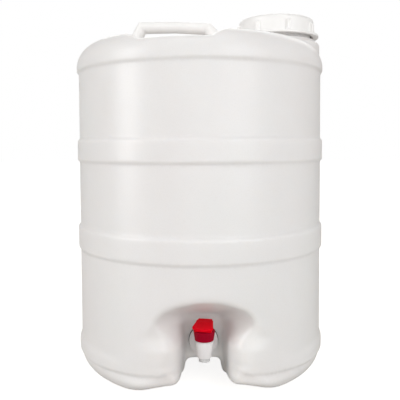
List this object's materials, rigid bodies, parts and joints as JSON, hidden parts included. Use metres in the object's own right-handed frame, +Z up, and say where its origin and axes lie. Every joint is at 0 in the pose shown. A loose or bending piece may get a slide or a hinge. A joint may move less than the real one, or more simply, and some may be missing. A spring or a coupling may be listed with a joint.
{
  "type": "fermenting barrel with tap",
  "caption": "Round blow-moulded translucent barrel on two feet, with a wide screw cap and vent bung, a carrying handle over a top groove, and a red lever tap in a front recess.",
  "frame": {"origin": "on the floor under the middle of the barrel", "axes": "+Z up along the barrel's axis, -Y towards the tap at the front, +X towards the filling neck"},
  "size_m": [0.305, 0.305, 0.44],
  "materials": {
    "natural_hdpe": "satin, slightly translucent",
    "white_plastic": "satin white",
    "liner_foam": "matt foam",
    "white_soft": "soft satin",
    "tap_white": "semi-gloss white",
    "tap_red": "semi-gloss red",
    "tap_stem_white": "matt white acetal",
    "dark_rubber": "matt",
    "clear_silicone": "translucent",
    "clear_plastic": "translucent",
    "steel": "bright drawn wire"
  },
  "bodies": {
    "barrel": {"vessel": "natural_hdpe", "handle": "white_plastic", "tap_body": "tap_white", "tap_gasket": "dark_rubber", "tap_inner_washer": "dark_rubber", "tap_back_nut": "tap_white", "tap_bonnet": "tap_red", "tap_seal_cup": "clear_silicone", "tap_nozzle": "clear_plastic"},
    "liner": {"cap_liner": "liner_foam"},
    "cap": {"screw_cap": "white_plastic"},
    "bung": {"vent_bung": "white_soft"},
    "tap_swivel": {"tap_spring_washer": "tap_stem_white", "tap_spring": "steel"},
    "stem": {"tap_stem": "tap_stem_white"},
    "lever": {"tap_lever": "tap_red", "tap_lever_pin": "steel"}
  },
  "joints": [
    {"name": "cap_lift", "type": "slide", "parent": "barrel", "child": "liner", "axis": [0, 0, 1], "range_m": [0, 0.0301]},
    {"name": "cap_turn", "type": "hinge", "parent": "liner", "child": "cap", "pos_m": [0.0975, 0, 0.42], "axis": [0, 0, 1], "range_deg": [0, 900]},
    {"name": "bung_pull", "type": "slide", "parent": "cap", "child": "bung", "axis": [0, 0, 1], "range_m": [0, 0.02]},
    {"name": "lever_swivel", "type": "hinge", "parent": "barrel", "child": "tap_swivel", "pos_m": [0, -0.112, 0.0705], "axis": [0, 0, 1], "continuous": true},
    {"name": "stem_lift", "type": "slide", "parent": "tap_swivel", "child": "stem", "axis": [0, 0, 1], "range_m": [0, 0.0042], "stiffness_N_per_m": 600, "springref_m": -0.006, "deforming": ["tap_spring", "tap_seal_cup"]},
    {"name": "lever_press", "type": "hinge", "parent": "stem", "child": "lever", "pos_m": [0, -0.112, 0.0768], "axis": [0.9781, -0.2079, 0], "range_deg": [0, 25.1]}
  ],
  "couplings": [
    {"joint": "cap_lift", "follows": "cap_turn", "m_per_rad": 0.0019099},
    {"joint": "lever_press", "follows": "stem_lift", "rad_per_m": 104.17}
  ]
}
